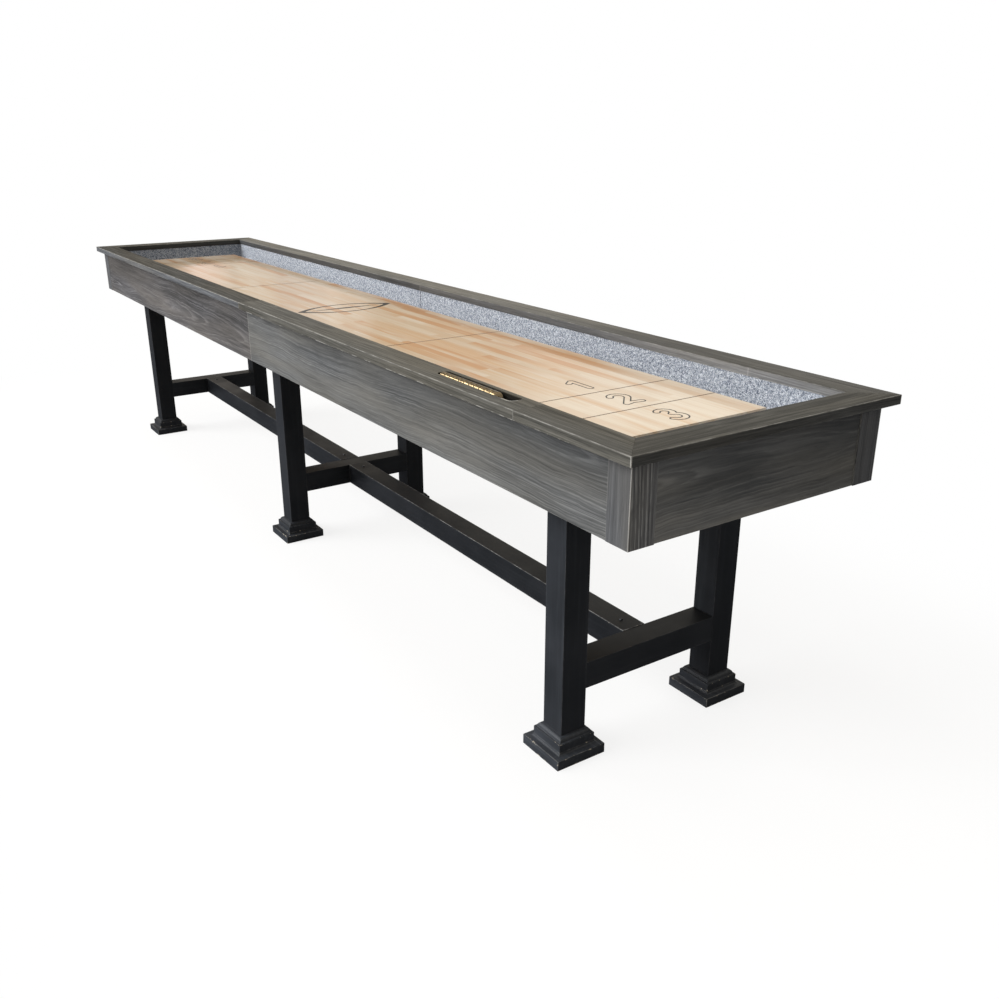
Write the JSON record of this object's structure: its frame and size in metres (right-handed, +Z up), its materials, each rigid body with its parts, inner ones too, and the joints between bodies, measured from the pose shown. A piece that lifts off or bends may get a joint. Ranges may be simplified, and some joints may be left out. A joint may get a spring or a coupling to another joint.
{
  "type": "shuffleboard table",
  "caption": "Free-standing shuffleboard table: a long maple playfield sunk in a felt-lined trough of stained boards, on a black trestle base, with an abacus scorer in the rail.",
  "frame": {"origin": "on the floor under the middle of the table", "axes": "+X along the table towards the scorer end, +Y across it away from the scorer side, +Z up"},
  "size_m": [3.658, 0.718, 0.805],
  "materials": {
    "rail_oak": "grey-stained open-grain oak, satin lacquer, worn edges",
    "panel_oak": "grey-stained open-grain oak, satin lacquer",
    "post_oak": "grey-stained open-grain oak, satin lacquer",
    "felt": "heather grey-blue needled felt on board",
    "plywood": "raw softwood and plywood",
    "maple": "butcher-block maple strips under a clear gloss coat",
    "ink": "printed dark brown lines under the clear coat",
    "black_wood": "satin black paint on wood",
    "zinc_steel": "zinc-plated steel",
    "brass": "satin brass"
  },
  "bodies": {
    "table": {"rail_near_left": "rail_oak", "rail_near_mid": "rail_oak", "rail_near_right": "rail_oak", "rail_far_left": "rail_oak", "rail_far_right": "rail_oak", "rail_end_left": "rail_oak", "rail_end_right": "rail_oak", "panel_near_left": "panel_oak", "panel_near_right": "panel_oak", "panel_far_left": "panel_oak", "panel_far_right": "panel_oak", "panel_end_left": "panel_oak", "panel_end_right": "panel_oak", "post_near_left": "post_oak", "post_near_right": "post_oak", "post_far_left": "post_oak", "post_far_right": "post_oak", "liner_near_left": "felt", "liner_near_right": "felt", "liner_far_left": "felt", "liner_far_right": "felt", "liner_end_left": "felt", "liner_end_right": "felt", "gutter_floors": "felt", "cradle_beams": "plywood", "cross_bearers": "plywood", "playfield": "maple", "playfield_markings": "ink", "leg_near_left": "black_wood", "leg_near_mid": "black_wood", "leg_near_right": "black_wood", "leg_far_left": "black_wood", "leg_far_mid": "black_wood", "leg_far_right": "black_wood", "feet": "black_wood", "cross_stretcher_left": "black_wood", "cross_stretcher_mid": "black_wood", "cross_stretcher_right": "black_wood", "centre_stretcher_left": "black_wood", "centre_stretcher_right": "black_wood", "leg_plates": "zinc_steel", "fixing_screws": "zinc_steel", "scorer_tray": "black_wood", "scorer_rod": "brass", "adjuster_brackets": "zinc_steel"},
    "bead_01": {"bead_01": "brass"},
    "bead_02": {"bead_02": "brass"},
    "bead_03": {"bead_03": "brass"},
    "bead_04": {"bead_04": "brass"},
    "bead_05": {"bead_05": "brass"},
    "bead_06": {"bead_06": "brass"},
    "bead_07": {"bead_07": "brass"},
    "bead_08": {"bead_08": "brass"},
    "bead_09": {"bead_09": "brass"},
    "bead_10": {"bead_10": "brass"},
    "bead_11": {"bead_11": "brass"},
    "adjuster_bolt_1": {"adjuster_bolt_1": "zinc_steel"},
    "adjuster_bolt_2": {"adjuster_bolt_2": "zinc_steel"},
    "adjuster_bolt_3": {"adjuster_bolt_3": "zinc_steel"},
    "adjuster_bolt_4": {"adjuster_bolt_4": "zinc_steel"}
  },
  "joints": [
    {"name": "bead_01_slide", "type": "slide", "parent": "table", "child": "bead_01", "axis": [1, 0, 0], "range_m": [0, 0.00546]},
    {"name": "bead_02_slide", "type": "slide", "parent": "table", "child": "bead_02", "axis": [1, 0, 0], "range_m": [0, 0.01092]},
    {"name": "bead_03_slide", "type": "slide", "parent": "table", "child": "bead_03", "axis": [1, 0, 0], "range_m": [0, 0.01637]},
    {"name": "bead_04_slide", "type": "slide", "parent": "table", "child": "bead_04", "axis": [1, 0, 0], "range_m": [0, 0.02183]},
    {"name": "bead_05_slide", "type": "slide", "parent": "table", "child": "bead_05", "axis": [1, 0, 0], "range_m": [0, 0.02728]},
    {"name": "bead_06_slide", "type": "slide", "parent": "table", "child": "bead_06", "axis": [1, 0, 0], "range_m": [0, 0.03274]},
    {"name": "bead_07_slide", "type": "slide", "parent": "table", "child": "bead_07", "axis": [1, 0, 0], "range_m": [0, 0.03819]},
    {"name": "bead_08_slide", "type": "slide", "parent": "table", "child": "bead_08", "axis": [1, 0, 0], "range_m": [0, 0.04365]},
    {"name": "bead_09_slide", "type": "slide", "parent": "table", "child": "bead_09", "axis": [1, 0, 0], "range_m": [0, 0.0491]},
    {"name": "bead_10_slide", "type": "slide", "parent": "table", "child": "bead_10", "axis": [1, 0, 0], "range_m": [0, 0.05456]},
    {"name": "bead_11_slide", "type": "slide", "parent": "table", "child": "bead_11", "axis": [1, 0, 0], "range_m": [0, 0.06]},
    {"name": "adjuster_bolt_1_turn", "type": "hinge", "parent": "table", "child": "adjuster_bolt_1", "pos_m": [-1.25, 0, 0.688], "axis": [0, 1, 0], "range_deg": [-360, 360]},
    {"name": "adjuster_bolt_2_turn", "type": "hinge", "parent": "table", "child": "adjuster_bolt_2", "pos_m": [-0.25, 0, 0.688], "axis": [0, 1, 0], "range_deg": [-360, 360]},
    {"name": "adjuster_bolt_3_turn", "type": "hinge", "parent": "table", "child": "adjuster_bolt_3", "pos_m": [0.25, 0, 0.688], "axis": [0, 1, 0], "range_deg": [-360, 360]},
    {"name": "adjuster_bolt_4_turn", "type": "hinge", "parent": "table", "child": "adjuster_bolt_4", "pos_m": [1.25, 0, 0.688], "axis": [0, 1, 0], "range_deg": [-360, 360]}
  ],
  "couplings": [
    {"joint": "bead_01_slide", "follows": "bead_11_slide", "ratio": 0.090909},
    {"joint": "bead_02_slide", "follows": "bead_11_slide", "ratio": 0.18182},
    {"joint": "bead_03_slide", "follows": "bead_11_slide", "ratio": 0.27273},
    {"joint": "bead_04_slide", "follows": "bead_11_slide", "ratio": 0.36364},
    {"joint": "bead_05_slide", "follows": "bead_11_slide", "ratio": 0.45454},
    {"joint": "bead_06_slide", "follows": "bead_11_slide", "ratio": 0.54546},
    {"joint": "bead_07_slide", "follows": "bead_11_slide", "ratio": 0.63636},
    {"joint": "bead_08_slide", "follows": "bead_11_slide", "ratio": 0.72727},
    {"joint": "bead_09_slide", "follows": "bead_11_slide", "ratio": 0.81818},
    {"joint": "bead_10_slide", "follows": "bead_11_slide", "ratio": 0.90909}
  ]
}
